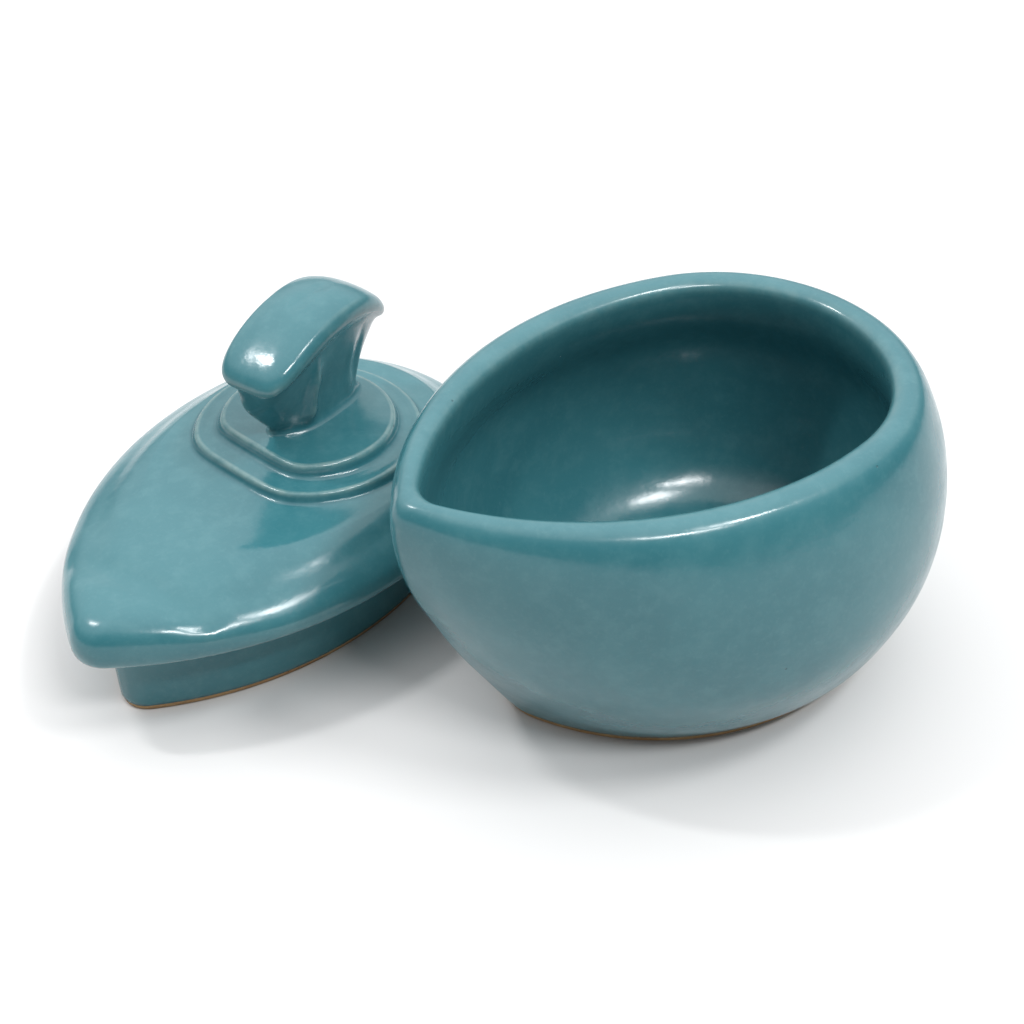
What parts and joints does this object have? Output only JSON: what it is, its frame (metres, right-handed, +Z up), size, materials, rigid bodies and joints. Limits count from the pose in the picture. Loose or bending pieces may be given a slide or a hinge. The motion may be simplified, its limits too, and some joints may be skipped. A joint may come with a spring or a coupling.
{
  "type": "lidded bowl",
  "caption": "Teardrop-shaped glazed stoneware bowl with a separate flanged lid and an arched knob, for yarn or table use.",
  "frame": {"origin": "middle of the bowl's foot, on the table", "axes": "+Z up; +X from the bowl's pointed end to its round end; the lid lies beside the bowl towards -X and +Y"},
  "size_m": [0.1869, 0.169, 0.071],
  "materials": {
    "glaze": "gloss",
    "bare_clay": "matt"
  },
  "bodies": {
    "bowl": {"bowl_body": "glaze", "bowl_foot": "bare_clay"},
    "lid": {"lid_dome": "glaze", "lid_flange": "glaze", "lid_flange_edge": "bare_clay", "lid_knob": "glaze"}
  },
  "joints": [
    {"name": "lid_lift", "type": "slide", "parent": "bowl", "child": "lid", "axis": [-0.2005, 0.3008, 0.9324], "range_m": [0, 0.12]}
  ]
}
